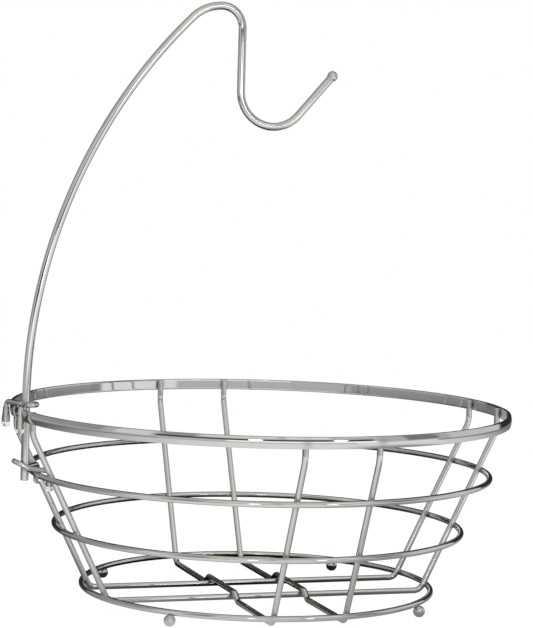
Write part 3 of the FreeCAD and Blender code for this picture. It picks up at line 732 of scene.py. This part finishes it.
def studio_paint():
    """Card that glows as it is painted, for reflections in the metal.

    Looking straight through the vinyl, one sees past it to the white surround.
    """
    material, tree = bare_material("painted studio card")
    paint = add(tree, "ShaderNodeAttribute", {"attribute_name": "paint"}).outputs["Color"]
    glow = add(tree, "ShaderNodeEmission", Color=paint, Strength=1.0)
    past = add(tree, "ShaderNodeBsdfTransparent")
    reflections = add(tree, "ShaderNodeLightPath").outputs["Glossy Depth"]
    mirrored = add(tree, "ShaderNodeMath", {"operation": "MINIMUM"},
                   _0=reflections, _1=1.0).outputs[0]
    face = add(tree, "ShaderNodeMixShader", _0=mirrored, _1=past.outputs["BSDF"],
               _2=glow.outputs["Emission"])
    add(tree, "ShaderNodeOutputMaterial", Surface=face.outputs["Shader"])
    return material


painted = studio_paint()


def painted_card(name, points, colours):
    """A grid of points in metres, painted point by point, that only reflections show."""
    rows, columns = points.shape[:2]
    start = (np.arange(rows - 1)[:, None] * columns + np.arange(columns - 1)[None, :]).ravel()
    faces = np.stack([start, start + columns, start + columns + 1, start + 1], 1).tolist()
    card = stage_prop(name, points, faces, painted)
    paint = np.concatenate([colours, np.ones((*colours.shape[:2], 1))], -1)
    marks = card.data.attributes.new("paint", "FLOAT_COLOR", "POINT")
    marks.data.foreach_set("color", paint.ravel())
    for kind in ("camera", "diffuse", "volume_scatter", "shadow"):
        setattr(card, f"visible_{kind}", False)


def smooth(value):
    """0 below 0, 1 above 1, and a smooth step between."""
    value = np.clip(value, 0, 1)
    return value * value * (3 - 2 * value)


# Each part of the painted room, a painted reflection: bright patches for soft boxes, a window, a
# white board and a reflector, dark ones for walls, gaps and a doorway. Its angles round the bowl,
# to the right of the camera's direction, and heights above the horizon, in degrees, then its tint,
# its level and its soft edge
PAINTED_ROOM = [
    ("ceiling", (-180, 180), (66, 90), WARM, 0.64, 8),
    ("left wall", (-132, -76), (2, 40), COOL, 0.38, 4),
    ("left window", (-66, -50), (2, 36), COOL, 0.85, 2),
    ("left gap", (-44, -30), (6, 54), PLAIN, 0.34, 2),
    ("left soft box", (-25, 6), (19, 50), WARM, 0.86, 3),
    ("right soft box", (13, 31), (19, 42), WARM, 0.96, 2),
    ("high soft box", (42, 64), (34, 54), WARM, 1.15, 3),
    ("right gap", (37, 52), (16, 28), PLAIN, 0.58, 3),
    ("dark room by the camera", (-46, 50), (6, 13), PLAIN, 0.05, 1.5),
    ("white board by the camera", (-14, 52), (-4, 3), PLAIN, 1.22, 1),
    ("right reflector", (94, 136), (-4, 32), COOL, 0.74, 3),
    ("doorway", (69, 84), (2, 36), PLAIN, 0.23, 3),
    ("far wall", (140, 220), (-3, 54), PLAIN, 0.03, 6),
    ("table beyond the sheet", (-180, 180), (-16, -5.5), COOL, 0.24, 1),
    ("table in front", (-44, 40), (-16, -5.5), COOL, 0.60, 3),
    ("table on the right", (44, 84), (-18, -5), COOL, 1.00, 3),
]
# Painted shade on the table's reflection, where the bowl's shadow falls: metres to the right of the
# middle and in front, reach and depth
SHADES = [
    ("under the bowl", 0.00, -0.06, 0.14, 0.9),
    ("all round it", 0.00, 0.00, 0.20, 0.15),
    ("on the right", 0.15, 0.07, 0.13, 0.5),
    ("farther right", 0.24, 0.18, 0.10, 0.5),
]


def paint_room():
    """Painted inside of a sphere: front and back levels mixed by the cosine of the angle.

    Each part of the room is laid over what is there by its cover, a smooth step at each edge.
    """
    turn = np.linspace(-180, 180, 361)[:, None]
    rise = np.linspace(-20, 90, 221)[None, :]
    level = ROOM_LEVEL + ROOM_GAIN * np.cos(np.radians(turn)) + 0 * rise
    colours = level[:, :, None] * np.array(linear(PLAIN)[:3])
    for _, around, heights, tint, part_level, soft in PAINTED_ROOM:
        middle, half = (around[0] + around[1]) / 2, (around[1] - around[0]) / 2
        off = np.abs((turn - middle + 180) % 360 - 180)
        beside = 1.0 if half >= 180 else smooth((half - off) / soft + 1)
        above, below = (rise - heights[0]) / soft + 1, (heights[1] - rise) / soft + 1
        cover = (beside * smooth(above) * smooth(below))[:, :, None]
        colours = colours * (1 - cover) + cover * part_level * np.array(linear(tint)[:3])
    around, rise = np.radians(turn - 90) - CAMERA_TURN, np.radians(rise)
    points = np.stack(np.broadcast_arrays(
        np.cos(rise) * np.cos(around), np.cos(rise) * np.sin(around), np.sin(rise)), -1)
    # A painted reflection: the glowing card stands for the room round the bowl, seen only in
    # reflections
    painted_card("painted_room_reflection", points * ROOM_RADIUS, colours)


def paint_table():
    """The table's reflection, painted on a card: brightest on one side, with painted shade in
    places.

    Its level is a smooth step of the cosine of the angle from that side, times one less each
    shade's depth times a flat-topped bell curve.
    """
    turn = np.radians(np.linspace(-180, 180, 181))[:, None]
    radius = np.concatenate([np.linspace(0, 0.3, 61), np.linspace(0.32, SHEET_RADIUS, 23)])[None, :]
    facing = np.cos(turn - math.radians(TABLE_SIDE))
    level = TABLE_LEVEL + TABLE_GAIN * smooth((facing + 0.95) / 1.9) ** 0.9
    for _, right, front, reach, depth in SHADES:
        away = np.hypot(radius * np.sin(turn) - right, radius * np.cos(turn) - front)
        level = level * (1 - depth * np.exp(-(away / reach) ** 4))
    around = turn - math.pi / 2 - CAMERA_TURN
    points = np.stack(np.broadcast_arrays(
        radius * np.cos(around), radius * np.sin(around), SHEEN_HEIGHT), -1)
    # A painted reflection of the table, with the bowl's shadow painted on it, seen only in
    # reflections
    painted_card("table_sheen", points, level[:, :, None] * np.array(linear(COOL)[:3]))


paint_room()
paint_table()

# How high above the table the lamps aim, in metres
LAMP_AIM = 0.12


def studio_lamp(name, size, watts, turn, rise, distance, flash=False):
    """An area lamp that faces the bowl from an angle right of the camera and above the horizon.

    A flash is round and sparkles in the chrome, which sees the painted soft boxes instead of
    the lamps that stand for them.
    """
    light = bpy.data.lights.new(name, "AREA")
    light.shape = "DISK" if flash else "RECTANGLE"
    light.size, light.size_y = size
    light.energy = watts
    lamp = bpy.data.objects.new(name, light)
    bpy.context.scene.collection.objects.link(lamp)
    around = math.radians(turn - 90) - CAMERA_TURN
    lamp.matrix_world = (
        Matrix.Translation((0, 0, LAMP_AIM))
        @ Matrix.Rotation(around, 4, "Z") @ Matrix.Rotation(-math.radians(rise), 4, "Y")
        @ Matrix.Translation((distance, 0, 0)) @ Matrix.Rotation(math.pi / 2, 4, "Y")
        @ Matrix.Rotation(math.pi / 2, 4, "Z"))
    lamp.visible_glossy = flash


studio_lamp("left soft box", (0.44, 0.40), 2.6, -27, 47, 1.25)
studio_lamp("right soft box", (0.50, 0.40), 3.4, 62, 47, 1.25)
studio_lamp("camera flash", (0.16, 0.16), 0.3, -2, 7.5, 1.5, flash=True)
studio_lamp("side flash", (0.16, 0.16), 0.3, 34, 7.5, 1.5, flash=True)

# Camera: the photograph's, about 1.5 m away, 18 degrees round to the hanger's side and a
# little above the rim, with a long lens.

FOCAL_PIXELS = 2473.2
FRAME_HEIGHT = 628
CAMERA_SPOT = (-0.47087, -1.42418, 0.28874)
# How far it is turned round, tilted down and rolled, in radians
CAMERA_ROUND, CAMERA_TILT, CAMERA_ROLL = -0.32045, 0.0762, 0.029

lens = bpy.data.cameras.new("product camera")
lens.sensor_width = 36.0
lens.lens = FOCAL_PIXELS / FRAME_HEIGHT * lens.sensor_width
lens.clip_start = 0.05
camera = bpy.data.objects.new("product camera", lens)
bpy.context.scene.collection.objects.link(camera)
camera.matrix_world = (
    Matrix.Translation(CAMERA_SPOT) @ Matrix.Rotation(CAMERA_ROUND, 4, "Z")
    @ Matrix.Rotation(math.pi / 2 - CAMERA_TILT, 4, "X") @ Matrix.Rotation(CAMERA_ROLL, 4, "Z"))
bpy.context.scene.camera = camera
bpy.context.scene.view_settings.view_transform = "Standard"
